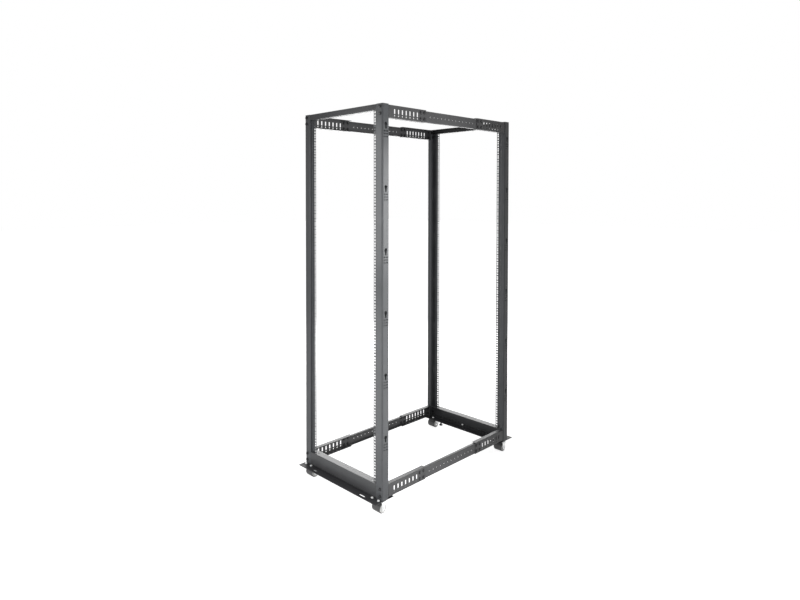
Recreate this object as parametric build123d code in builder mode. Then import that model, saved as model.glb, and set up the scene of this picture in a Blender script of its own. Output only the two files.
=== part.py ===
from build123d import *
import math
import os

# Four post open frame rack, 42 units, on four swivel casters.
# Millimetres, +Z up, X is the width, the front faces -Y, origin on the floor under the middle.

# Rack standard
unit = 44.45
units = 42
hole_offsets = (6.35, 22.225, 38.1)
hole_edge = 7.55
hole_side = 9.5
opening_width = 450.0

# Overall
mount_depth = 1100.0
sheet = 2.0
bend_radius = 3.0
seat_gap = 0.3

# Posts: outer flange, step back, mounting flange, side web, lip and its return
post_width = 75.0
flange_width = 31.0
step_depth = 16.0
step_radius = 4.0
web_depth = 49.0
post_radius = 8.0
lip_width = 28.0
lip_return = 12.0
lip_radius = 5.0

# Keyholes and lacing slots in the side web
key_count = 6
key_first = 244.0
key_pitch_units = 7
key_radius = 9.5
key_neck = 10.0
key_drop = 20.0
lace_rows = 3
lace_first = 35.0
lace_pitch = 14.0
lace_width = 11.0
lace_height = 5.0
lace_offset = 8.5

# Base plates, base beams and top rails
plate_thickness = 3.0
plate_top = 70.0
plate_ahead = 50.0
plate_behind = 84.0
anchor_inset = 111.0
anchor_ahead = 30.0
anchor_length = 40.0
anchor_width = 10.0
beam_height = 70.0
beam_flange = 44.0
beam_foot = 30.0
beam_hole_inset = 88.0
beam_hole_radius = 4.5
bay_clearance = 2.0
top_rail_height = 31.0
top_rail_flange = 30.0

# Depth rails: two slotted brackets and a nested centre rail on each side, top and bottom
bracket_height = 66.0
bracket_flange = 25.0
bracket_end = 337.0
bracket_inset = 3.0
bracket_drop = 3.0
bracket_rise = 4.0
rail_height = 59.0
rail_flange = 16.0
rail_nest = 62.0
slot_columns = 7
slot_first = 43.0
slot_pitch = 29.0
slot_width = 10.0
slot_height = 23.0
slot_level = 35.0
pin_radius = 4.0
pin_level = 14.0
mark_count = 13
mark_pitch = 32.0
mark_side = 5.0

# Casters
caster_inset = 38.0
caster_y_inset = 23.5
caster_trail = 7.0
top_plate_width = 58.0
top_plate_depth = 84.0
top_plate_thickness = 2.5
wheel_radius = 25.0
wheel_width = 32.0
wheel_clearance = 1.5
tread_crown = 2.5
hub_radius = 18.0
hub_recess = 3.0
boss_radius = 8.0
axle_radius = 4.0
axle_clearance = 0.06
axle_head = 1.5
stem_radius = 6.0
stem_clearance = 0.06
race_radius = 18.0
race_height = 5.0
race_gap = 1.0
fork_sheet = 2.5
fork_width = 32.0
fork_round = 10.5

# Levelling feet
foot_inset = 100.0
foot_lift = 8.0
foot_pad_radius = 12.0
foot_rim = 4.0
foot_neck = 8.0
foot_stem_radius = 4.0
foot_nut_radius = 8.0
foot_nut_height = 6.0

# Places worked out from the sizes
rack_width = opening_width + 2 * post_width
hole_columns = opening_width + 2 * hole_edge
half_width = rack_width / 2
half_depth = mount_depth / 2
front_face = half_depth + step_depth
face_inner = opening_width / 2 + flange_width
lip_face = front_face - web_depth
seat_face = front_face - sheet - seat_gap
seat_reach = half_width - post_radius - seat_gap
post_bottom = plate_top + seat_gap
beam_top = plate_top + seat_gap + beam_height
rail_bottom = beam_top + units * unit + bay_clearance
post_top = rail_bottom + top_rail_height
plate_under = plate_top - plate_thickness
plate_outer = front_face + plate_ahead
plate_inner = front_face - plate_behind
race_top = plate_under - seat_gap - top_plate_thickness - race_gap
caster_y = front_face - caster_y_inset
caster_x = half_width - caster_inset
anchor_x = half_width - anchor_inset
foot_x = half_width - foot_inset
beam_hole_x = half_width - beam_hole_inset

os.makedirs("parts", exist_ok=True)


def save(piece, name):
    """Label a finished piece and write it out."""
    piece.label = name
    export_step(piece, "parts/" + name + ".step")


def folded(points, hand, radius=bend_radius):
    """Draw a bent sheet section: the path of one face, thickened to the given hand."""
    with BuildLine() as path:
        FilletPolyline(*points, radius=radius)
        offset(amount=sheet, side=Side.LEFT if hand > 0 else Side.RIGHT)
    make_face(path.edges())


def build_post(name, side, end):
    """Perforated post folded from one sheet; side is -1 left or 1 right, end is -1 front or 1 rear."""
    turn = side * end
    section = [(half_width - lip_width, lip_face + lip_return), (half_width - lip_width, lip_face),
               (half_width, lip_face), (half_width, front_face), (face_inner, front_face),
               (face_inner, half_depth), (opening_width / 2, half_depth)]
    radii = [lip_radius, post_radius, post_radius, step_radius, step_radius]
    with BuildPart() as post:
        with BuildSketch(Plane.XY.offset(post_bottom)):
            folded([(side * x, end * y) for x, y in section], turn, radii)
        extrude(amount=post_top - post_bottom)
        notch = face_inner + sheet + step_radius - opening_width / 2
        middle = opening_width / 2 + notch / 2
        relief = sheet + lip_radius
        return_middle = half_width - lip_width + relief / 2
        for low, high in ((post_bottom, beam_top + seat_gap), (rail_bottom - seat_gap, post_top)):
            with BuildSketch(Plane.XZ.offset(-end * seat_face)):
                with Locations((side * middle, (low + high) / 2)):
                    Rectangle(notch, high - low)
                with Locations((side * return_middle, (low + high) / 2)):
                    Rectangle(relief, high - low)
            extrude(amount=end * (seat_face - lip_face), mode=Mode.SUBTRACT)
        with BuildSketch(Plane.XZ.offset(-end * half_depth)):
            rows = [beam_top + bay_clearance / 2 + n * unit + rise for n in range(units) for rise in hole_offsets]
            with Locations(*[(side * hole_columns / 2, row) for row in rows]):
                Rectangle(hole_side, hole_side)
        extrude(amount=end * sheet, mode=Mode.SUBTRACT)
        with BuildSketch(Plane.YZ.offset(side * half_width)):
            centre = end * (front_face - web_depth / 2)
            for n in range(key_count):
                level = beam_top + key_first + n * key_pitch_units * unit
                with Locations((centre, level)):
                    Circle(key_radius)
                with Locations((centre, level - key_drop)):
                    Circle(key_neck / 2)
                with Locations((centre, level - key_drop / 2)):
                    Rectangle(key_neck, key_drop)
                laces = [(centre + hand * lace_offset, level - lace_first - row * lace_pitch)
                         for hand in (-1, 1) for row in range(lace_rows)]
                with Locations(*laces):
                    Rectangle(lace_width, lace_height)
        extrude(amount=-side * sheet, mode=Mode.SUBTRACT)
    save(post.part, name)


def build_base_plate(name, end):
    """Base plate across two posts; it carries two casters and two levelling feet."""
    with BuildPart() as plate:
        with BuildSketch(Plane.XY.offset(plate_under)):
            with Locations((0, end * (plate_outer + plate_inner) / 2)):
                Rectangle(rack_width, plate_outer - plate_inner)
            with Locations(*[(side * anchor_x, end * (front_face + anchor_ahead)) for side in (-1, 1)]):
                SlotOverall(anchor_length, anchor_width, mode=Mode.SUBTRACT)
        extrude(amount=plate_thickness)
    save(plate.part, name)


def build_beam(name, end):
    """Base beam: a channel standing on the base plate with its flanges turned inward."""
    low = plate_top + seat_gap
    section = [(seat_face - beam_foot, low), (seat_face, low), (seat_face, beam_top),
               (seat_face - beam_flange, beam_top)]
    with BuildPart() as beam:
        with BuildSketch(Plane.YZ.offset(-seat_reach)):
            folded([(end * y, z) for y, z in section], end)
        extrude(amount=2 * seat_reach)
        with BuildSketch(Plane.XY.offset(beam_top)):
            with Locations(*[(side * beam_hole_x, end * (seat_face - beam_flange / 2)) for side in (-1, 1)]):
                Circle(beam_hole_radius)
        extrude(amount=-sheet, mode=Mode.SUBTRACT)
    save(beam.part, name)


def build_top_rail(name, end):
    """Top rail: a shallow channel bolted behind the outer flanges of two posts."""
    section = [(seat_face - top_rail_flange, rail_bottom), (seat_face, rail_bottom), (seat_face, post_top),
               (seat_face - top_rail_flange, post_top)]
    with BuildPart() as rail:
        with BuildSketch(Plane.YZ.offset(-seat_reach)):
            folded([(end * y, z) for y, z in section], end)
        extrude(amount=2 * seat_reach)
    save(rail.part, name)


def build_bracket(name, side, end, bottom):
    """Depth rail bracket: a slotted channel with an end plate against the lip of its post."""
    outer = half_width - bracket_inset
    start = lip_face - seat_gap
    finish = front_face - bracket_end
    top = bottom + bracket_height
    section = [(outer - bracket_flange, bottom), (outer, bottom), (outer, top), (outer - bracket_flange, top)]
    with BuildPart() as bracket:
        with BuildSketch(Plane.XZ.offset(-end * finish)):
            folded([(side * x, z) for x, z in section], side)
        extrude(amount=-end * (start - finish))
        with BuildSketch(Plane.XZ.offset(-end * start)):
            with Locations((side * (outer - bracket_flange / 2 - bend_radius / 2), bottom + bracket_height / 2)):
                Rectangle(bracket_flange - bend_radius, bracket_height - sheet)
        extrude(amount=end * sheet)
        with BuildSketch(Plane.YZ.offset(side * outer)):
            columns = [end * (start - slot_first - k * slot_pitch) for k in range(slot_columns)]
            with Locations(*[(y, bottom + slot_level) for y in columns]):
                Rectangle(slot_width, slot_height)
            with Locations(*[(y, bottom + pin_level) for y in columns]):
                Circle(pin_radius)
        extrude(amount=-side * sheet, mode=Mode.SUBTRACT)
    save(bracket.part, name)


def build_centre_rail(name, side, bottom):
    """Centre rail: a channel nested in two brackets, with a row of square marks along its web."""
    outer = half_width - bracket_inset - sheet - seat_gap
    low = bottom + sheet + seat_gap
    high = low + rail_height
    reach = front_face - bracket_end + rail_nest
    section = [(outer - rail_flange, low), (outer, low), (outer, high), (outer - rail_flange, high)]
    with BuildPart() as rail:
        with BuildSketch(Plane.XZ.offset(-reach)):
            folded([(side * x, z) for x, z in section], side)
        extrude(amount=2 * reach)
        with BuildSketch(Plane.YZ.offset(side * outer)):
            first = -mark_pitch * (mark_count - 1) / 2
            with Locations(*[(first + k * mark_pitch, (low + high) / 2) for k in range(mark_count)]):
                Rectangle(mark_side, mark_side)
        extrude(amount=-side * sheet, mode=Mode.SUBTRACT)
    save(rail.part, name)


def build_top_plate(name, x, y):
    """Caster top plate under the base plate, with the hole its stem turns in."""
    with BuildPart() as plate:
        with BuildSketch(Plane.XY.offset(plate_under - seat_gap - top_plate_thickness)):
            with Locations((x, y)):
                Rectangle(top_plate_width, top_plate_depth)
                Circle(stem_radius + stem_clearance, mode=Mode.SUBTRACT)
        extrude(amount=top_plate_thickness)
    save(plate.part, name)


def build_fork(name, x, y):
    """Caster fork: stem and race turned about the swivel, then a crown, two legs and a fixed axle."""
    inner = wheel_width / 2 + wheel_clearance
    outer = inner + fork_sheet
    crown = race_top - race_height
    centre = y - caster_trail
    with BuildPart() as fork:
        with BuildSketch(Plane((x, y, 0), x_dir=(1, 0, 0), z_dir=(0, -1, 0))):
            with BuildLine():
                rise = race_top + race_gap + top_plate_thickness
                Polyline((0, crown - fork_sheet), (race_radius, crown - fork_sheet), (race_radius, race_top),
                         (stem_radius, race_top), (stem_radius, rise), (0, rise), close=True)
            make_face()
        revolve(axis=Axis((x, y, 0), (0, 0, 1)))
        with BuildSketch(Plane.XY.offset(crown)):
            with Locations((x, y)):
                Rectangle(2 * outer, fork_width)
        extrude(amount=-fork_sheet)
        for hand in (-1, 1):
            with BuildSketch(Plane.YZ.offset(x + hand * outer)):
                with BuildLine():
                    Polyline((y - fork_width / 2, crown), (y + fork_width / 2, crown),
                             (centre + fork_round, wheel_radius), (centre - fork_round, wheel_radius), close=True)
                make_face()
                with Locations((centre, wheel_radius)):
                    Circle(fork_round)
            extrude(amount=-hand * fork_sheet)
        with BuildSketch(Plane.YZ.offset(x - outer - axle_head)):
            with Locations((centre, wheel_radius)):
                Circle(axle_radius)
        extrude(amount=2 * (outer + axle_head))
    save(fork.part, name)


def build_wheel(name, x, y):
    """Caster wheel turned from its section: crowned tread, recessed faces and axle bore."""
    half = wheel_width / 2
    bore = axle_radius + axle_clearance
    wall = half - hub_recess
    side = [(half, bore), (half, boss_radius), (wall, boss_radius), (wall, hub_radius), (half, hub_radius),
            (half, wheel_radius - tread_crown), (half - tread_crown, wheel_radius)]
    with BuildPart() as wheel:
        with BuildSketch(Plane((x, y - caster_trail, wheel_radius), x_dir=(1, 0, 0), z_dir=(0, -1, 0))):
            with BuildLine():
                Polyline(*side, *[(-a, r) for a, r in reversed(side)], close=True)
            make_face()
        revolve(axis=Axis((x, y - caster_trail, wheel_radius), (1, 0, 0)))
    save(wheel.part, name)


def build_foot(name, side, end):
    """Levelling foot turned from its section, with a lock nut against the base plate."""
    x = side * foot_x
    y = end * caster_y
    top = plate_under - seat_gap
    with BuildPart() as foot:
        with BuildSketch(Plane((x, y, 0), x_dir=(1, 0, 0), z_dir=(0, -1, 0))):
            with BuildLine():
                Polyline((0, foot_lift), (foot_pad_radius, foot_lift), (foot_pad_radius, foot_lift + foot_rim),
                         (foot_stem_radius, foot_lift + foot_rim + foot_neck), (foot_stem_radius, top), (0, top),
                         close=True)
            make_face()
        revolve(axis=Axis((x, y, 0), (0, 0, 1)))
        with BuildSketch(Plane.XY.offset(top - foot_nut_height)):
            with Locations((x, y)):
                RegularPolygon(foot_nut_radius, 6)
        extrude(amount=foot_nut_height)
    save(foot.part, name)


sides = {"left": -1, "right": 1}
ends = {"front": -1, "rear": 1}
levels = {"bottom": plate_top + bracket_rise, "top": post_top - bracket_drop - bracket_height}

for end_name, end in ends.items():
    build_base_plate(end_name + "_base_plate", end)
    build_beam(end_name + "_base_beam", end)
    build_top_rail(end_name + "_top_rail", end)
    for side_name, side in sides.items():
        corner = end_name + "_" + side_name
        build_post(corner + "_post", side, end)
        build_foot(corner + "_levelling_foot", side, end)
        build_top_plate(corner + "_caster_plate", side * caster_x, end * caster_y)
        build_fork(corner + "_caster_horn", side * caster_x, end * caster_y)
        build_wheel(corner + "_caster_wheel", side * caster_x, end * caster_y)

for side_name, side in sides.items():
    for level_name, bottom in levels.items():
        rail_name = side_name + "_" + level_name
        for end_name, end in ends.items():
            build_bracket(rail_name + "_" + end_name + "_bracket", side, end, bottom)
        build_centre_rail(rail_name + "_centre_rail", side, bottom)
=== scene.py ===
"""Visual model of a four post open frame rack: finishes, fasteners, casters and levelling feet on the CAD frame."""
import logging
import math
from collections.abc import Callable, Sequence
from dataclasses import dataclass
from enum import Enum

import bmesh
import bpy
from mathutils import Matrix, Vector


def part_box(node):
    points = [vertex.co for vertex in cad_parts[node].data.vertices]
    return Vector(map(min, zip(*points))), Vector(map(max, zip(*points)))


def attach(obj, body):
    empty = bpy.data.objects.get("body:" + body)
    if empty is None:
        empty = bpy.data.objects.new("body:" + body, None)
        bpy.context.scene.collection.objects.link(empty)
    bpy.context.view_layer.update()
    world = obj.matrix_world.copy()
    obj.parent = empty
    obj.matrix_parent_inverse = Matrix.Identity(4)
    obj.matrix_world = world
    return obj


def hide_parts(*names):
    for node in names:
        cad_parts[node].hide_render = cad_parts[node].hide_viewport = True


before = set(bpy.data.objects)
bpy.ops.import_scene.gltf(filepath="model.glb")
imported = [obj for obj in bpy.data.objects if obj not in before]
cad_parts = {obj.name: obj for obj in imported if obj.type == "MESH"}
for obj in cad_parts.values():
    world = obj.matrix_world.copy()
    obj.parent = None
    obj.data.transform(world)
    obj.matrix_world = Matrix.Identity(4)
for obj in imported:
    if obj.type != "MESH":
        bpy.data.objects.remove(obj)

LOG = logging.getLogger("rack")
Colour = tuple[float, float, float]
Point = tuple[float, float, float]
Box = tuple[Vector, Vector]  # the lowest and the highest corner
Spot = tuple[Vector, Vector]  # a foot and the axis that stands on it
ACROSS = Vector((1, 0, 0))
UP = Vector((0, 0, 1))
SAME = 1e-6  # two places closer than this, in metres, are one
ALONG = 0.99  # a face looks along an axis if its normal has more than this on it


class End(Enum):
    """The two ends of the rack, with the way each one faces along Y."""

    FRONT = ("front", -1)
    REAR = ("rear", 1)

    def __init__(self, label: str, way: int) -> None:
        """Keep the end's name and the way it faces.

        Args:
            label: the name that the CAD nodes use.
            way: -1 or 1 along Y.
        """
        self.label = label
        self.way = way


class Side(Enum):
    """The two sides of the rack, with the way each one faces along X."""

    LEFT = ("left", -1)
    RIGHT = ("right", 1)

    def __init__(self, label: str, way: int) -> None:
        """Keep the side's name and the way it faces.

        Args:
            label: the name that the CAD nodes use.
            way: -1 or 1 along X.
        """
        self.label = label
        self.way = way


class Level(Enum):
    """The two levels of the depth rails."""

    BOTTOM = "bottom"
    TOP = "top"


class Slot(Enum):
    """The material slots of the record."""

    COAT = "black_coat"
    ZINC = "zinc"
    WHEEL = "caster_wheel"
    FOOT = "foot"


@dataclass(frozen=True)
class Corner:
    """One corner of the rack."""

    end: End
    side: Side

    def name(self, part: str) -> str:
        """Name a part of this corner, as the CAD nodes and bodies do.

        Args:
            part: the part's own name.

        Returns:
            The part's full name.
        """
        return f"{self.end.label}_{self.side.label}_{part}"


CORNERS = tuple(Corner(end, side) for end in End for side in Side)


def box_of(node: str) -> Box:
    """Find the box of a CAD node at rest.

    Args:
        node: the node's name.

    Returns:
        Its lowest and highest corners.
    """
    low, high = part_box(node)
    return Vector(low), Vector(high)


def middle_of(node: str) -> Vector:
    """Find the middle of a CAD node at rest.

    Args:
        node: the node's name.

    Returns:
        The middle of its box.
    """
    low, high = box_of(node)
    return (low + high) / 2


@dataclass(frozen=True)
class Pattern:
    """A noise pattern: its cells in a metre, its finer layers, and how its coordinates are scaled on each axis."""

    scale: float
    detail: float
    stretch: Point = (1, 1, 1)


class Wiring:
    """The node tree of one material, with short ways to add and join its nodes."""

    dark_end: float = 0.3
    light_end: float = 0.7

    def __init__(self, name: str) -> None:
        """Start a material that has a surface shader and an output.

        Args:
            name: the material's name.
        """
        self.material = bpy.data.materials.new(name)
        self.material.use_nodes = True
        self.tree = self.material.node_tree
        self.shader = self.tree.nodes["Principled BSDF"]
        self.place = self.tree.nodes.new("ShaderNodeTexCoord").outputs["Object"]

    def set(self, **sockets: object) -> None:
        """Set the shader's own sockets; an underscore stands for a space.

        Args:
            sockets: socket names and their constant values.
        """
        for name, value in sockets.items():
            self.shader.inputs[name.replace("_", " ")].default_value = value

    def noise(self, pattern: Pattern) -> bpy.types.NodeSocket:
        """Add a noise pattern on object coordinates.

        Args:
            pattern: the pattern's measures.

        Returns:
            The pattern's grey value.
        """
        mapping = self.tree.nodes.new("ShaderNodeMapping")
        mapping.inputs["Scale"].default_value = pattern.stretch
        self.tree.links.new(self.place, mapping.inputs["Vector"])
        node = self.tree.nodes.new("ShaderNodeTexNoise")
        node.inputs["Scale"].default_value = pattern.scale
        node.inputs["Detail"].default_value = pattern.detail
        self.tree.links.new(mapping.outputs["Vector"], node.inputs["Vector"])
        return node.outputs["Fac"]

    def map_range(self, value: bpy.types.NodeSocket, source: tuple[float, float],
                  result: tuple[float, float]) -> bpy.types.NodeSocket:
        """Map one range of a value to another.

        Args:
            value: the value.
            source: the range it is read over.
            result: the range it is given.

        Returns:
            The mapped value.
        """
        node = self.tree.nodes.new("ShaderNodeMapRange")
        for socket, limit in zip(("From Min", "From Max", "To Min", "To Max"), (*source, *result)):
            node.inputs[socket].default_value = limit
        self.tree.links.new(value, node.inputs["Value"])
        return node.outputs["Result"]

    def blend(self, value: bpy.types.NodeSocket, dark: Colour, light: Colour) -> None:
        """Colour the surface between two shades by a grey pattern.

        Args:
            value: the pattern.
            dark: the colour where the pattern is dark.
            light: the colour where it is light.
        """
        ramp = self.tree.nodes.new("ShaderNodeValToRGB")
        ends = ((self.dark_end, dark), (self.light_end, light))
        for element, (position, colour) in zip(ramp.color_ramp.elements, ends):
            element.position = position
            element.color = (*colour, 1)
        self.tree.links.new(value, ramp.inputs["Fac"])
        self.tree.links.new(ramp.outputs["Color"], self.shader.inputs["Base Color"])

    def rough(self, value: bpy.types.NodeSocket, low: float, high: float) -> None:
        """Vary the roughness by a grey pattern.

        Args:
            value: the pattern.
            low: the roughness where the pattern is dark.
            high: the roughness where it is light.
        """
        spread = self.map_range(value, (self.dark_end, self.light_end), (low, high))
        self.tree.links.new(spread, self.shader.inputs["Roughness"])

    def bump(self, value: bpy.types.NodeSocket, height: float) -> None:
        """Raise the surface by a grey pattern.

        Args:
            value: the pattern.
            height: the height of its lightest point in metres.
        """
        node = self.tree.nodes.new("ShaderNodeBump")
        node.inputs["Distance"].default_value = height
        self.tree.links.new(value, node.inputs["Height"])
        self.tree.links.new(node.outputs["Normal"], self.shader.inputs["Normal"])


@dataclass(frozen=True)
class PowderCoat:
    """Satin black powder coat: a faint cloud in its shade, and the fine peel of the baked powder."""

    name: str
    dark: Colour
    light: Colour
    roughness: float
    gloss: float
    peel: float
    cloud: Pattern = Pattern(scale=9, detail=5)
    sheen: Pattern = Pattern(scale=420, detail=3)
    sheen_spread: float = 0.06
    grain: Pattern = Pattern(scale=620, detail=2)

    def make(self) -> bpy.types.Material:
        """Make the material of this coat.

        Returns:
            The material.
        """
        wiring = Wiring(self.name)
        wiring.set(Specular_IOR_Level=self.gloss)
        wiring.blend(wiring.noise(self.cloud), self.dark, self.light)
        wiring.rough(wiring.noise(self.sheen), self.roughness - self.sheen_spread,
                     self.roughness + self.sheen_spread)
        wiring.bump(wiring.noise(self.grain), self.peel)
        return wiring.material


@dataclass(frozen=True)
class Plating:
    """Bright or blackened plating on steel, with the drawn grain of the metal under it."""

    name: str
    dark: Colour
    light: Colour
    roughness: float
    metallic: float
    cloud: Pattern = Pattern(scale=160, detail=4)
    grain: Pattern = Pattern(scale=300, detail=3, stretch=(1, 1, 6))
    grain_depth: float = 0.00003
    smoother: float = 0.08
    rougher: float = 0.1

    def make(self) -> bpy.types.Material:
        """Make the material of this plating.

        Returns:
            The material.
        """
        wiring = Wiring(self.name)
        wiring.set(Metallic=self.metallic)
        wiring.blend(wiring.noise(self.cloud), self.dark, self.light)
        grain = wiring.noise(self.grain)
        wiring.rough(grain, self.roughness - self.smoother, self.roughness + self.rougher)
        wiring.bump(grain, self.grain_depth)
        return wiring.material


@dataclass(frozen=True)
class Moulding:
    """Moulded rubber or nylon with a fine spark texture."""

    name: str
    dark: Colour
    light: Colour
    roughness: float
    depth: float
    cloud: Pattern = Pattern(scale=60, detail=5)
    sheen: Pattern = Pattern(scale=240, detail=3)
    sheen_spread: float = 0.07
    spark: Pattern = Pattern(scale=1500, detail=2)

    def make(self) -> bpy.types.Material:
        """Make the material of this moulding.

        Returns:
            The material.
        """
        wiring = Wiring(self.name)
        wiring.blend(wiring.noise(self.cloud), self.dark, self.light)
        wiring.rough(wiring.noise(self.sheen), self.roughness - self.sheen_spread,
                     self.roughness + self.sheen_spread)
        wiring.bump(wiring.noise(self.spark), self.depth)
        return wiring.material


class Bench:
    """The hand work on a mesh: adding primitives, picking faces and edges, and finishing pieces."""

    @staticmethod
    def clear() -> None:
        """Leave edit mode and deselect everything."""
        if bpy.context.object and bpy.context.object.mode != "OBJECT":
            bpy.ops.object.mode_set(mode="OBJECT")
        bpy.ops.object.select_all(action="DESELECT")

    @staticmethod
    def cylinder(radius: float, low: float, high: float, corners: int, spot: Spot) -> bpy.types.Object:
        """Add a cylinder that stands along an axis.

        Args:
            radius: its radius over the corners.
            low: where it starts along the axis.
            high: where it ends along the axis.
            corners: how many sides it has.
            spot: the foot of the axis and its direction.

        Returns:
            The cylinder, with its place in its mesh.
        """
        Bench.clear()
        foot, axis = spot
        turn = axis.to_track_quat("Z", "Y").to_euler()
        centre = foot + axis * (low + high) / 2
        bpy.ops.mesh.primitive_cylinder_add(
            vertices=corners, radius=radius, depth=high - low, location=centre, rotation=turn)
        piece = bpy.context.object
        bpy.ops.object.transform_apply(location=True, rotation=True, scale=True)
        return piece

    @staticmethod
    def hexagon(flats: float, low: float, high: float, spot: Spot) -> bpy.types.Object:
        """Add a hexagon that stands along an axis.

        Args:
            flats: its width over the flats.
            low: where it starts along the axis.
            high: where it ends along the axis.
            spot: the foot of the axis and its direction.

        Returns:
            The hexagon, with its place in its mesh.
        """
        return Bench.cylinder(flats / math.sqrt(3), low, high, 6, spot)

    @staticmethod
    def faces(piece: bpy.types.Object, test: Callable[[Vector, Vector], bool]) -> None:
        """Go into edit mode and select the faces that pass a test.

        Args:
            piece: the object that is worked on.
            test: takes a face's middle and normal.
        """
        if piece.mode != "EDIT":
            bpy.ops.object.mode_set(mode="EDIT")
        bpy.ops.mesh.select_mode(type="FACE")
        bpy.ops.mesh.select_all(action="DESELECT")
        mesh = bmesh.from_edit_mesh(piece.data)
        for face in mesh.faces:
            if test(face.calc_center_median(), face.normal):
                face.select_set(True)
        bmesh.update_edit_mesh(piece.data)

    @staticmethod
    def edges(piece: bpy.types.Object, test: Callable[[Vector, Vector], bool]) -> None:
        """Go into edit mode and select the edges that pass a test.

        Args:
            piece: the object that is worked on.
            test: takes the places of an edge's two ends.
        """
        if piece.mode != "EDIT":
            bpy.ops.object.mode_set(mode="EDIT")
        bpy.ops.mesh.select_mode(type="EDGE")
        bpy.ops.mesh.select_all(action="DESELECT")
        mesh = bmesh.from_edit_mesh(piece.data)
        for edge in mesh.edges:
            if test(edge.verts[0].co, edge.verts[1].co):
                edge.select_set(True)
        bmesh.update_edit_mesh(piece.data)

    @staticmethod
    def bevel(offset: float, segments: int) -> None:
        """Bevel the selected edges and leave edit mode.

        Args:
            offset: how far the bevel reaches.
            segments: how many steps it has.
        """
        bpy.ops.mesh.bevel(offset=offset, segments=segments, affect="EDGES")
        bpy.ops.object.mode_set(mode="OBJECT")

    @staticmethod
    def draw(way: Point, grow: Point) -> None:
        """Extrude the selection and resize its new end.

        Args:
            way: how far the new end is moved.
            grow: how it is scaled on each axis.
        """
        bpy.ops.mesh.extrude_region_move(TRANSFORM_OT_translate={"value": way})
        bpy.ops.transform.resize(value=grow)

    @staticmethod
    def join(pieces: Sequence[bpy.types.Object], name: str) -> bpy.types.Object:
        """Join objects into one and name it.

        Args:
            pieces: the objects, of which the first takes the rest.
            name: the name of the whole.

        Returns:
            The joined object.
        """
        Bench.clear()
        for piece in pieces:
            piece.select_set(True)
        bpy.context.view_layer.objects.active = pieces[0]
        if len(pieces) > 1:
            bpy.ops.object.join()
        whole = bpy.context.object
        whole.name = name
        whole.data.name = name
        return whole

    @staticmethod
    def close(piece: bpy.types.Object, angle: float = 35) -> None:
        """Merge doubles, turn the faces outwards and shade the gentle edges smooth.

        Args:
            piece: the finished object.
            angle: edges flatter than this many degrees are shaded smooth.
        """
        Bench.clear()
        piece.select_set(True)
        bpy.context.view_layer.objects.active = piece
        bpy.ops.object.mode_set(mode="EDIT")
        bpy.ops.mesh.select_all(action="SELECT")
        bpy.ops.mesh.remove_doubles(threshold=SAME)
        bpy.ops.mesh.normals_make_consistent(inside=False)
        bpy.ops.object.mode_set(mode="OBJECT")
        bpy.ops.object.shade_smooth_by_angle(angle=math.radians(angle))

    @staticmethod
    def scatter(master: bpy.types.Object, name: str, spots: Sequence[Spot]) -> bpy.types.Object:
        """Copy a master that stands on the origin to many spots, as one object.

        Args:
            master: the object to copy, with its foot on the origin and its axis along Z.
            name: the name of the whole.
            spots: where each copy's foot goes, and its axis.

        Returns:
            The copies as one object.
        """
        Bench.clear()
        copies = []
        for foot, axis in spots:
            copy = master.copy()
            copy.data = master.data.copy()
            bpy.context.collection.objects.link(copy)
            turn = axis.to_track_quat("Z", "Y").to_matrix().to_4x4()
            copy.matrix_world = Matrix.Translation(foot) @ turn
            copies.append(copy)
        for copy in copies:
            copy.select_set(True)
        bpy.context.view_layer.objects.active = copies[0]
        bpy.ops.object.transform_apply(location=True, rotation=True, scale=True)
        return Bench.join(copies, name)


def dress(piece: bpy.types.Object, finish: bpy.types.Material | None, body: str) -> None:
    """Give a finished piece its material and the body it rides on.

    Args:
        piece: the finished object.
        finish: its material, or None where the piece already has its materials.
        body: the CAD body that carries it.
    """
    if finish is not None:
        piece.data.materials.clear()
        piece.data.materials.append(finish)
    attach(piece, body)
    LOG.info("%s: %d faces on %s", piece.name, len(piece.data.polygons), body)


@dataclass(frozen=True)
class Fastener:
    """A hexagon bolt with a washer under its head, and a nut with its own washer behind the sheets."""

    name: str
    flats: float
    head: float
    washer: float
    rim: float
    thread: float
    grip: float = 0.0
    nut: float = 0.0
    tail: float = 0.0
    chamfer_share: float = 0.06
    ease_share: float = 0.3
    washer_corners: int = 20
    thread_corners: int = 12
    smooth: float = 30

    def hexagon(self, low: float, high: float, top: float) -> bpy.types.Object:
        """Model a hexagon whose outer corners are chamfered.

        Args:
            low: its foot along Z.
            high: its crown along Z.
            top: the height of the face that is chamfered.

        Returns:
            The hexagon.
        """
        piece = Bench.hexagon(self.flats, low, high, (Vector(), UP))
        Bench.edges(piece, lambda a, b: abs(a.z - top) < SAME and abs(b.z - top) < SAME)
        Bench.bevel(self.flats * self.chamfer_share, segments=2)
        return piece

    def ring(self, low: float, high: float, radius: float, corners: int) -> bpy.types.Object:
        """Model a washer or a thread end with its rims eased.

        Args:
            low: its foot along Z.
            high: its crown along Z.
            radius: its radius.
            corners: how many sides it has.

        Returns:
            The ring.
        """
        piece = Bench.cylinder(radius, low, high, corners, (Vector(), UP))
        Bench.edges(piece, lambda a, b: abs(a.z - b.z) < SAME)
        Bench.bevel(self.rim * self.ease_share, segments=1)
        return piece

    def model(self) -> bpy.types.Object:
        """Model the bolt on the origin, with its head along +Z and its nut below.

        Returns:
            The master to copy from.
        """
        crown = self.rim + self.head
        parts = [self.ring(0, self.rim, self.washer, self.washer_corners),
                 self.hexagon(self.rim, crown, crown)]
        if self.nut > 0:
            back = -self.grip
            seat = back - self.rim
            end = seat - self.nut
            parts.append(self.ring(seat, back, self.washer, self.washer_corners))
            parts.append(self.hexagon(end, seat, end))
            parts.append(self.ring(end - self.tail, end, self.thread, self.thread_corners))
        master = Bench.join(parts, self.name)
        Bench.close(master, self.smooth)
        return master


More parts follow.
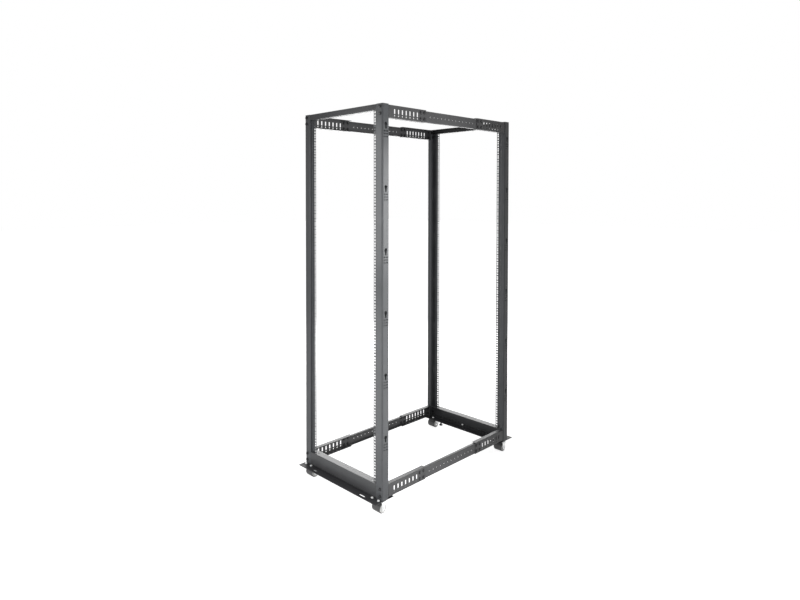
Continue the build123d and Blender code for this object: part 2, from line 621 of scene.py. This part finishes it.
@dataclass
class FrameBolts:
    """The bolts that hold the posts, beams, rails, brackets and casters together."""

    black: bpy.types.Material
    bright: bpy.types.Material
    post_x: float = 0.284
    # above the foot of the post or, where negative, below its top
    post_levels: tuple[float, ...] = (0.0207, 0.0557, -0.050, -0.0155)
    bracket_steps: tuple[float, ...] = (0.013, 0.044)
    bracket_levels: tuple[float, ...] = (0.015, 0.049)
    bracket_sheet: float = 0.002
    lip_x: float = 0.2845
    lip_levels: tuple[float, ...] = (0.018, 0.048)
    caster_x: float = 0.0215
    caster_y: float = 0.0335
    earth_x: float = -0.028
    earth_y: float = 0.550
    # the top of the beam's foot, above the base plate
    earth_seat: float = 0.0023
    post_bolt: Fastener = Fastener(
        "post_bolt", flats=0.013, head=0.005, washer=0.0085, rim=0.0016, thread=0.004,
        grip=0.0043, nut=0.006, tail=0.003)
    rail_bolt: Fastener = Fastener(
        "rail_bolt", flats=0.016, head=0.0028, washer=0.0095, rim=0.001, thread=0.004,
        grip=0.0043, nut=0.005, tail=0.002)
    lip_bolt: Fastener = Fastener(
        "lip_bolt", flats=0.010, head=0.004, washer=0.0052, rim=0.001, thread=0.003,
        grip=0.0043, nut=0.005, tail=0.002)
    caster_bolt: Fastener = Fastener(
        "caster_bolt", flats=0.010, head=0.004, washer=0.0068, rim=0.0012, thread=0.003,
        grip=0.0058, nut=0.004, tail=0.0012)
    earth_screw: Fastener = Fastener(
        "earth_screw", flats=0.010, head=0.004, washer=0.0068, rim=0.0012, thread=0.003)

    def post_bolts(self) -> None:
        """Bolt the beams and top rails to the outer flange of each post."""
        master = self.post_bolt.model()
        for corner in CORNERS:
            low, high = box_of(corner.name("post"))
            face = high.y if corner.end is End.REAR else low.y
            axis = Vector((0, corner.end.way, 0))
            spots = []
            for level in self.post_levels:
                height = (low if level > 0 else high).z + level
                spots.append((Vector((corner.side.way * self.post_x, face, height)), axis))
            piece = Bench.scatter(master, corner.name("post_bolts"), spots)
            dress(piece, self.black, "frame")
        bpy.data.objects.remove(master)

    def rail_bolts(self) -> None:
        """Bolt the centre rails into their brackets, and the brackets to the lips of the posts."""
        rail = self.rail_bolt.model()
        lip = self.lip_bolt.model()
        for side in Side:
            for level in Level:
                for end in End:
                    name = f"{side.label}_{level.value}_{end.label}_bracket"
                    low, high = box_of(name)
                    face = high.x if side is Side.RIGHT else low.x
                    tip = low.y if end is End.REAR else high.y
                    back = high.y if end is End.REAR else low.y
                    seat = back - end.way * self.bracket_sheet
                    spots = [(Vector((face, tip + end.way * step, low.z + rise)), Vector((side.way, 0, 0)))
                             for step in self.bracket_steps for rise in self.bracket_levels]
                    outer = Bench.scatter(rail, name + "_rail_bolts", spots)
                    spots = [(Vector((side.way * self.lip_x, seat, low.z + rise)), Vector((0, -end.way, 0)))
                             for rise in self.lip_levels]
                    inner = Bench.scatter(lip, name + "_lip_bolts", spots)
                    dress(outer, self.black, "frame")
                    dress(inner, self.black, "frame")
        bpy.data.objects.remove(rail)
        bpy.data.objects.remove(lip)

    def caster_bolts(self) -> None:
        """Bolt each caster plate to its base plate with bright bolts, and set one earth screw at the rear."""
        master = self.caster_bolt.model()
        for corner in CORNERS:
            top = box_of(f"{corner.end.label}_base_plate")[1].z
            centre = middle_of(corner.name("caster_plate"))
            spots = [(Vector((centre.x + i * self.caster_x, centre.y + j * self.caster_y, top)), UP)
                     for i in (-1, 1) for j in (-1, 1)]
            piece = Bench.scatter(master, corner.name("caster_bolts"), spots)
            dress(piece, self.bright, "frame")
        screw = self.earth_screw.model()
        seat = box_of("rear_base_plate")[1].z + self.earth_seat
        spot = (Vector((self.earth_x, self.earth_y, seat)), UP)
        piece = Bench.scatter(screw, "rear_base_earth_screw", [spot])
        dress(piece, self.bright, "frame")
        bpy.data.objects.remove(master)
        bpy.data.objects.remove(screw)

    def build(self) -> None:
        """Build all the bolts."""
        self.post_bolts()
        self.rail_bolts()
        self.caster_bolts()


@dataclass(frozen=True)
class CasterSize:
    """The widths of a caster as the photograph shows them: the tyre is wider than the plain CAD wheel."""

    tread: float = 0.054
    gap: float = 0.0015
    sheet: float = 0.0025
    axle_end: float = 0.0015

    @property
    def reach(self) -> float:
        """Measure from the middle of the wheel to the outer face of a fork leg.

        Returns:
            The distance along the axle.
        """
        return self.tread / 2 + self.gap + self.sheet

    @property
    def axle_reach(self) -> float:
        """Measure from the middle of the wheel to the end of its axle.

        Returns:
            The distance along the axle.
        """
        return self.reach + self.axle_end


@dataclass
class CasterWheels:
    """The four caster wheels: a rounded tyre on a hub that is dished on both sides, with a boss round the axle."""

    size: CasterSize
    tyre: bpy.types.Material
    hub: bpy.types.Material
    corners: int = 64
    tyre_wall: float = 0.0038
    seam: float = 0.0002
    dish: float = 0.0028
    slope: float = 0.0015
    boss: float = 0.0085
    boss_slope: float = 0.001
    bore: float = 0.0044
    round_tread: float = 0.0030
    round_steps: int = 4
    bore_share: float = 1.02
    tread_share: float = 0.998
    smooth: float = 40

    def build_one(self, name: str) -> bpy.types.Object:
        """Model one wheel in the place of its CAD node.

        Args:
            name: the CAD node.

        Returns:
            The wheel.
        """
        low, high = box_of(name)
        centre = (low + high) / 2
        radius = (high.z - low.z) / 2
        half = self.size.tread / 2
        web = radius - self.tyre_wall - self.slope - self.boss - self.boss_slope
        piece = Bench.cylinder(radius, -half, half, self.corners, (centre, ACROSS))
        Bench.faces(piece, lambda middle, normal: abs(normal.x) > ALONG)
        bpy.ops.mesh.inset(thickness=self.tyre_wall, depth=0)
        bpy.ops.mesh.inset(thickness=self.slope, depth=-self.dish)
        bpy.ops.mesh.inset(thickness=web, depth=0)
        bpy.ops.mesh.inset(thickness=self.boss_slope, depth=self.dish)
        bpy.ops.mesh.inset(thickness=self.boss - self.bore, depth=0)
        bpy.ops.mesh.delete(type="FACE")
        inner = self.bore * self.bore_share
        Bench.edges(piece, lambda a, b: max((a - centre).yz.length, (b - centre).yz.length) < inner)
        bpy.ops.mesh.bridge_edge_loops()
        outer = radius * self.tread_share
        Bench.edges(piece, lambda a, b: min((a - centre).yz.length, (b - centre).yz.length) > outer
                    and abs(a.x - b.x) < SAME)
        bpy.ops.mesh.bevel(offset=self.round_tread, segments=self.round_steps, affect="EDGES")
        piece.data.materials.append(self.tyre)
        piece.data.materials.append(self.hub)
        limit = radius - self.tyre_wall - self.seam
        Bench.faces(piece, lambda middle, normal: (middle - centre).yz.length < limit)
        piece.active_material_index = 1
        bpy.ops.object.material_slot_assign()
        bpy.ops.object.mode_set(mode="OBJECT")
        Bench.close(piece, self.smooth)
        return Bench.join([piece], name + "_tyre")

    def build(self) -> None:
        """Build the wheel of every caster on its own body."""
        for corner in CORNERS:
            node = corner.name("caster_wheel")
            piece = self.build_one(node)
            dress(piece, None, corner.name("wheel"))
            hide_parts(node)


@dataclass
class CasterForks:
    """The four caster forks: a steel strap bent over the wheel, with a rounded toe on each leg and the axle."""

    size: CasterSize
    finish: bpy.types.Material
    axle: float = 0.004
    axle_corners: int = 24
    crown_drop: float = 0.006
    crown_half: float = 0.016
    toe: float = 0.0105
    toe_steps: int = 7
    toe_blunt: float = 0.4
    bend: float = 0.006
    bend_steps: int = 5
    edge: float = 0.0005
    edge_angle: float = 50
    smooth: float = 40

    def strap(self, corner: Corner) -> bpy.types.Object:
        """Model the bent strap of one caster as a bare sheet that faces outwards.

        Args:
            corner: the rack's corner.

        Returns:
            The strap.
        """
        plate = corner.name("caster_plate")
        stem = middle_of(plate)
        wheel = middle_of(corner.name("caster_wheel"))
        crown = box_of(plate)[0].z - self.crown_drop
        Bench.clear()
        bpy.ops.mesh.primitive_plane_add(size=2, location=(stem.x, stem.y, crown))
        piece = bpy.context.object
        piece.scale = (self.size.reach, self.crown_half, 1)
        bpy.ops.object.transform_apply(location=True, rotation=True, scale=True)
        Bench.edges(piece, lambda a, b: abs(a.x - b.x) < SAME)
        Bench.draw((0, 0, wheel.z - crown), (1, self.toe / self.crown_half, 1))
        bpy.ops.transform.translate(value=(0, wheel.y - stem.y, 0))
        turn = math.pi / 2 / (self.toe_steps + self.toe_blunt)
        for step in range(self.toe_steps):
            fall = self.toe * (math.sin(turn * (step + 1)) - math.sin(turn * step))
            Bench.draw((0, 0, -fall), (1, math.cos(turn * (step + 1)) / math.cos(turn * step), 1))
        Bench.edges(piece, lambda a, b: min(a.z, b.z) > crown - SAME and abs(a.x - b.x) < SAME)
        bpy.ops.mesh.bevel(offset=self.bend, segments=self.bend_steps, affect="EDGES")
        bpy.ops.mesh.select_all(action="SELECT")
        bpy.ops.mesh.normals_make_consistent(inside=False)
        bpy.ops.object.mode_set(mode="OBJECT")
        top = max(piece.data.polygons, key=lambda face: face.center.z)
        if top.normal.z < 0:
            piece.data.flip_normals()
        return piece

    def thicken(self, piece: bpy.types.Object) -> None:
        """Give a bare sheet its wall, inwards from its outer face, and ease the edges.

        Args:
            piece: the sheet, which is the active object.
        """
        wall = piece.modifiers.new("wall", "SOLIDIFY")
        wall.thickness = self.size.sheet
        wall.offset = -1
        ease = piece.modifiers.new("ease", "BEVEL")
        ease.width = self.edge
        ease.segments = 2
        ease.limit_method = "ANGLE"
        ease.angle_limit = math.radians(self.edge_angle)
        for modifier in ("wall", "ease"):
            bpy.ops.object.modifier_apply(modifier=modifier)

    def build(self) -> None:
        """Build the fork of every caster on its swivel body."""
        reach = self.size.axle_reach
        for corner in CORNERS:
            node = corner.name("caster_horn")
            spot = (middle_of(corner.name("caster_wheel")), ACROSS)
            strap = self.strap(corner)
            self.thicken(strap)
            axle = Bench.cylinder(self.axle, -reach, reach, self.axle_corners, spot)
            Bench.faces(axle, lambda middle, normal: abs(normal.x) > ALONG)
            Bench.bevel(self.edge, segments=1)
            piece = Bench.join([strap, axle], node + "_strap")
            Bench.close(piece, self.smooth)
            dress(piece, self.finish, corner.name("swivel"))
            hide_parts(node)


@dataclass
class CasterHeads:
    """What is turned with each caster fork: the cover of its ball race and the nuts of its axle."""

    size: CasterSize
    finish: bpy.types.Material
    cover: float = 0.0205
    cover_height: float = 0.006
    cover_gap: float = 0.0006
    cover_corners: int = 40
    cover_lip: float = 0.0035
    cover_hollow: float = 0.0012
    cover_round: float = 0.0018
    cover_share: float = 0.99
    flats: float = 0.011
    nut: float = 0.0035
    nut_seat: float = 0.0001
    nut_chamfer: float = 0.0008

    def race(self, corner: Corner) -> bpy.types.Object:
        """Model the cover of the ball race under the caster plate.

        Args:
            corner: the rack's corner.

        Returns:
            The cover.
        """
        plate = corner.name("caster_plate")
        stem = middle_of(plate).xy
        top = box_of(plate)[0].z - self.cover_gap
        ring = Bench.cylinder(self.cover, top - self.cover_height, top, self.cover_corners,
                              (stem.to_3d(), UP))
        Bench.faces(ring, lambda middle, normal: normal.z < -ALONG)
        bpy.ops.mesh.inset(thickness=self.cover_lip, depth=self.cover_hollow)
        outer = self.cover * self.cover_share
        Bench.edges(ring, lambda a, b: abs(a.z - b.z) < SAME and (a.xy - stem).length > outer)
        Bench.bevel(self.cover_round, segments=3)
        return ring

    def build(self) -> None:
        """Build the heads of every caster on their swivel bodies."""
        for corner in CORNERS:
            axle = middle_of(corner.name("caster_wheel"))
            nuts = []
            for way in (-1, 1):
                foot = Vector((axle.x + way * (self.size.reach - self.nut_seat), axle.y, axle.z))
                nut = Bench.hexagon(self.flats, 0, self.nut, (foot, Vector((way, 0, 0))))
                Bench.faces(nut, lambda middle, normal: normal.x * way > ALONG)
                Bench.bevel(self.nut_chamfer, segments=2)
                nuts.append(nut)
            piece = Bench.join([self.race(corner), *nuts], corner.name("caster_head"))
            Bench.close(piece)
            dress(piece, self.finish, corner.name("swivel"))


@dataclass
class LevellingFeet:
    """The four levelling feet: a moulded pad on a threaded stud with a lock nut, wound up as in the photograph."""

    pad: bpy.types.Material
    stud: bpy.types.Material
    wound_up: float = 0.014
    rim: float = 0.004
    cone: float = 0.004
    cone_share: float = 0.55
    neck: float = 0.005
    neck_share: float = 0.85
    neck_round: float = 0.001
    rim_round: float = 0.0012
    rim_share: float = 0.98
    pad_corners: int = 32
    pitch: float = 0.00125
    depth: float = 0.0005
    stud_radius: float = 0.004
    stud_foot: float = 0.012
    stud_corners: int = 14
    nut_height: float = 0.0065
    nut_flats: float = 0.013
    nut_chamfer: float = 0.0008

    def thread(self, foot: Vector, high: float) -> bpy.types.Object:
        """Model the threaded stud by drawing a ring upwards in crests and roots.

        Args:
            foot: the middle of its lower end.
            high: the height of its top.

        Returns:
            The stud.
        """
        Bench.clear()
        bpy.ops.mesh.primitive_circle_add(vertices=self.stud_corners, radius=self.stud_radius,
                                          fill_type="NGON", location=foot)
        piece = bpy.context.object
        bpy.ops.object.transform_apply(location=True, rotation=True, scale=True)
        bpy.ops.object.mode_set(mode="EDIT")
        bpy.ops.mesh.select_all(action="SELECT")
        steps = int((high - foot.z) / (self.pitch / 2))
        root = 1 - self.depth / self.stud_radius
        for step in range(steps):
            grow = root if step % 2 == 0 else 1 / root
            Bench.draw((0, 0, self.pitch / 2), (grow, grow, 1))
        bpy.ops.object.mode_set(mode="OBJECT")
        return piece

    def moulded_pad(self, centre: Vector, radius: float, sole: float) -> bpy.types.Object:
        """Model the pad: a rim, a cone and a neck, with the rim and the neck rounded.

        Args:
            centre: the middle of the foot.
            radius: the pad's radius.
            sole: the height of its sole.

        Returns:
            The pad.
        """
        spot = (centre.xy.to_3d(), UP)
        pad = Bench.cylinder(radius, sole, sole + self.rim, self.pad_corners, spot)
        Bench.faces(pad, lambda middle, normal: normal.z > ALONG)
        Bench.draw((0, 0, self.cone), (self.cone_share, self.cone_share, 1))
        Bench.draw((0, 0, self.neck), (self.neck_share, self.neck_share, 1))
        bpy.ops.mesh.bevel(offset=self.neck_round, segments=2, affect="EDGES")
        Bench.edges(pad, lambda a, b: abs(a.z - b.z) < SAME
                    and (a.xy - centre.xy).length > radius * self.rim_share)
        Bench.bevel(self.rim_round, segments=2)
        return pad

    def lock_nut(self, centre: Vector, high: float) -> bpy.types.Object:
        """Model the lock nut under the base plate.

        Args:
            centre: the middle of the foot.
            high: the height of its top.

        Returns:
            The nut.
        """
        spot = (centre.xy.to_3d(), UP)
        nut = Bench.hexagon(self.nut_flats, high - self.nut_height, high, spot)
        Bench.edges(nut, lambda a, b: abs(a.z - b.z) < SAME)
        Bench.bevel(self.nut_chamfer, segments=1)
        return nut

    def build(self) -> None:
        """Build the feet in the place of their CAD nodes."""
        for corner in CORNERS:
            node = corner.name("levelling_foot")
            low, high = box_of(node)
            centre = (low + high) / 2
            sole = low.z + self.wound_up
            pad = self.moulded_pad(centre, (high.x - low.x) / 2, sole)
            stud = self.thread(Vector((centre.x, centre.y, sole + self.stud_foot)), high.z)
            nut = self.lock_nut(centre, high.z)
            pad.data.materials.append(self.pad)
            for metal in (stud, nut):
                metal.data.materials.append(self.stud)
            foot = Bench.join([pad, stud, nut], node + "_turned")
            Bench.close(foot)
            dress(foot, None, "frame")
            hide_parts(node)


@dataclass(frozen=True)
class Softbox:
    """A soft studio light: a bright panel that looks at a point of the rack."""

    name: str
    centre: Point
    target: Point
    width: float
    height: float
    radiance: float

    def hang(self) -> None:
        """Hang the light where it belongs, out of the camera's sight."""
        light = bpy.data.lights.new(self.name, "AREA")
        light.shape = "RECTANGLE"
        light.size = self.width
        light.size_y = self.height
        light.energy = self.radiance * math.pi * self.width * self.height
        holder = bpy.data.objects.new(self.name, light)
        look = Vector(self.target) - Vector(self.centre)
        turn = look.to_track_quat("-Z", "Y").to_matrix().to_4x4()
        holder.matrix_world = Matrix.Translation(self.centre) @ turn
        holder.visible_camera = False
        bpy.context.collection.objects.link(holder)


@dataclass
class Studio:
    """The pale floor, the white backdrop, the soft lights and the camera."""

    position: Point = (2.3016, -2.6768, 1.5734)
    yaw: float = 47.9638
    pitch: float = 1.3843
    roll: float = -0.0676
    lens: float = 26.642
    sensor: float = 36
    shift: tuple[float, float] = (0.0800, -0.1091)
    sight: float = 100
    fill: float = 0.12
    floor_size: float = 60
    floor_cloud: Pattern = Pattern(scale=1.5, detail=2)
    floor_dark: Colour = (0.78, 0.78, 0.78)
    floor_light: Colour = (0.8, 0.8, 0.8)
    floor_glow: tuple[float, float] = (0.82, 1.0)
    floor_reach: tuple[float, float] = (1.0, 3.0)
    boxes: tuple[Softbox, ...] = (
        Softbox("side_softbox_high", centre=(0.84, 0.02, 1.52), target=(0.3, -0.55, 1.50),
                width=0.5, height=0.75, radiance=7.8),
        Softbox("side_softbox_low", centre=(0.84, 0.02, 0.55), target=(0.3, -0.55, 0.55),
                width=0.5, height=1.1, radiance=2.9),
        Softbox("front_softbox_high", centre=(-0.15, -1.02, 1.60), target=(0.75, -0.59, 1.60),
                width=0.45, height=0.9, radiance=4.0),
        Softbox("front_softbox_low", centre=(-0.27, -1.15, 0.47), target=(0.28, -0.566, 0.47),
                width=0.45, height=0.9, radiance=3.5),
        Softbox("corner_softbox", centre=(0.66, -0.945, 1.02), target=(0.3, -0.566, 1.02),
                width=0.10, height=2.0, radiance=11.0),
        Softbox("rear_softbox", centre=(-2.3, 2.7, 1.7), target=(0, 0, 0.2),
                width=2.8, height=1.8, radiance=3.1),
        Softbox("rear_left_softbox", centre=(-2.3, 1.4, 1.6), target=(0, -0.5, 0.15),
                width=1.4, height=1.2, radiance=2.3),
    )

    def backdrop(self) -> None:
        """Make the world white to the eye and to reflections, and a soft fill to the rest."""
        world = bpy.data.worlds.new("backdrop")
        bpy.context.scene.world = world
        world.use_nodes = True
        tree = world.node_tree
        ground = tree.nodes["Background"]
        ground.inputs["Color"].default_value = (1, 1, 1, 1)
        tree.links.new(self.seen(tree, self.fill, 1.0), ground.inputs["Strength"])

    def seen(self, tree: bpy.types.NodeTree, hidden: float, shown: float) -> bpy.types.NodeSocket:
        """Give one value to rays that show the backdrop and another to the rest.

        Args:
            tree: the node tree to add to.
            hidden: the value for rays that only light.
            shown: the value for camera, glossy and transmission rays.

        Returns:
            The chosen value.
        """
        path = tree.nodes.new("ShaderNodeLightPath")
        either = path.outputs["Is Camera Ray"]
        for kind in ("Is Glossy Ray", "Is Transmission Ray"):
            top = tree.nodes.new("ShaderNodeMath")
            top.operation = "MAXIMUM"
            tree.links.new(either, top.inputs[0])
            tree.links.new(path.outputs[kind], top.inputs[1])
            either = top.outputs["Value"]
        span = tree.nodes.new("ShaderNodeMapRange")
        span.inputs["To Min"].default_value = hidden
        span.inputs["To Max"].default_value = shown
        tree.links.new(either, span.inputs["Value"])
        return span.outputs["Result"]

    def floor(self) -> None:
        """Lay a pale floor that keeps the shadow of the rack and turns white away from it."""
        Bench.clear()
        bpy.ops.mesh.primitive_plane_add(size=self.floor_size, location=(0, 0, 0))
        plane = bpy.context.object
        plane.name = "floor"
        wiring = Wiring("pale_floor")
        wiring.set(Roughness=0.9, Specular_IOR_Level=0.1, Emission_Color=(1, 1, 1, 1))
        wiring.blend(wiring.noise(self.floor_cloud), self.floor_dark, self.floor_light)
        reach = wiring.tree.nodes.new("ShaderNodeVectorMath")
        reach.operation = "LENGTH"
        wiring.tree.links.new(wiring.place, reach.inputs[0])
        fade = wiring.map_range(reach.outputs["Value"], self.floor_reach, self.floor_glow)
        glow = wiring.tree.nodes.new("ShaderNodeMath")
        glow.operation = "MULTIPLY"
        wiring.tree.links.new(self.seen(wiring.tree, 0.0, 1.0), glow.inputs[0])
        wiring.tree.links.new(fade, glow.inputs[1])
        wiring.tree.links.new(glow.outputs["Value"], wiring.shader.inputs["Emission Strength"])
        plane.data.materials.append(wiring.material)

    def camera(self) -> None:
        """Set the camera where the photograph was taken from."""
        lens = bpy.data.cameras.new("view")
        lens.sensor_fit = "HORIZONTAL"
        lens.sensor_width = self.sensor
        lens.lens = self.lens
        lens.shift_x, lens.shift_y = self.shift
        lens.clip_end = self.sight
        yaw, pitch, roll = (math.radians(angle) for angle in (self.yaw, self.pitch, self.roll))
        ahead = Vector((-math.sin(yaw) * math.cos(pitch), math.cos(yaw) * math.cos(pitch), -math.sin(pitch)))
        level = Vector((math.cos(yaw), math.sin(yaw), 0))
        above = level.cross(ahead)
        right = level * math.cos(roll) + above * math.sin(roll)
        up = above * math.cos(roll) - level * math.sin(roll)
        holder = bpy.data.objects.new("view", lens)
        turn = Matrix((right, up, -ahead)).transposed().to_4x4()
        holder.matrix_world = Matrix.Translation(self.position) @ turn
        bpy.context.collection.objects.link(holder)
        bpy.context.scene.camera = holder

    def build(self) -> None:
        """Build the studio round the rack."""
        self.backdrop()
        self.floor()
        for box in self.boxes:
            box.hang()
        self.camera()
        bpy.context.scene.view_settings.view_transform = "Standard"


def coat_frame(finishes: dict[str, bpy.types.Material]) -> None:
    """Give every CAD node its finish, by the end of its name.

    Args:
        finishes: name endings and the material for each.
    """
    for name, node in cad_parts.items():
        for ending, finish in finishes.items():
            if name.endswith(ending):
                node.data.materials.clear()
                node.data.materials.append(finish)
                LOG.info("%s: %s", name, finish.name)
                break


POST_COAT = PowderCoat("post_coat", dark=(0.058, 0.061, 0.065), light=(0.070, 0.073, 0.078),
                       roughness=0.40, gloss=0.30, peel=0.00004)
BEAM_COAT = PowderCoat("beam_coat", dark=(0.042, 0.043, 0.045), light=(0.051, 0.052, 0.055),
                       roughness=0.36, gloss=0.35, peel=0.00004)
# The base plates take a darker copy of the frame's one black coat: painted shade for the dark look of their ledges.
PLATE_SHADED_COAT = PowderCoat("plate_shaded_coat", dark=(0.022, 0.022, 0.024), light=(0.030, 0.030, 0.032),
                        roughness=0.48, gloss=0.22, peel=0.00004)
TOP_COAT = PowderCoat("top_coat", dark=(0.026, 0.027, 0.029), light=(0.034, 0.035, 0.037),
                      roughness=0.38, gloss=0.32, peel=0.00004)
RAIL_COAT = PowderCoat("rail_coat", dark=(0.050, 0.050, 0.052), light=(0.062, 0.062, 0.064),
                       roughness=0.40, gloss=0.30, peel=0.00005)
BRIGHT_ZINC = Plating("bright_zinc", dark=(0.60, 0.61, 0.62), light=(0.74, 0.74, 0.73),
                      roughness=0.30, metallic=1.0)
BOLT_ZINC = Plating("bolt_zinc", dark=(0.78, 0.79, 0.80), light=(0.90, 0.90, 0.89),
                    roughness=0.42, metallic=0.4)
BLACK_ZINC = Plating("black_zinc", dark=(0.018, 0.018, 0.020), light=(0.030, 0.030, 0.032),
                     roughness=0.36, metallic=0.4)
TYRE_RUBBER = Moulding("tyre_rubber", dark=(0.045, 0.045, 0.046), light=(0.060, 0.060, 0.061),
                       roughness=0.50, depth=0.00002)
HUB_NYLON = Moulding("hub_nylon", dark=(0.70, 0.70, 0.69), light=(0.78, 0.78, 0.77),
                     roughness=0.42, depth=0.00001)
PAD_NYLON = Moulding("pad_nylon", dark=(0.014, 0.014, 0.015), light=(0.022, 0.022, 0.023),
                     roughness=0.45, depth=0.00001)


def main() -> None:
    """Build the finishes, the pieces and the studio in order."""
    logging.basicConfig(level=logging.INFO, format="%(name)s %(message)s")
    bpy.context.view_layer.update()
    rail_coat = RAIL_COAT.make()
    zinc = BRIGHT_ZINC.make()
    black_zinc = BLACK_ZINC.make()
    tyre = TYRE_RUBBER.make()
    pad = PAD_NYLON.make()
    coat_frame({"_post": POST_COAT.make(), "_base_plate": PLATE_SHADED_COAT.make(), "_base_beam": BEAM_COAT.make(),
                "_top_rail": TOP_COAT.make(), "_bracket": rail_coat, "_centre_rail": rail_coat,
                "_caster_plate": zinc, "_caster_horn": zinc, "_wheel": tyre, "_foot": pad})
    FrameBolts(black_zinc, BOLT_ZINC.make()).build()
    caster = CasterSize()
    CasterWheels(caster, tyre, HUB_NYLON.make()).build()
    CasterForks(caster, zinc).build()
    CasterHeads(caster, zinc).build()
    LevellingFeet(pad, black_zinc).build()
    Studio().build()


if __name__ == "__main__":
    main()
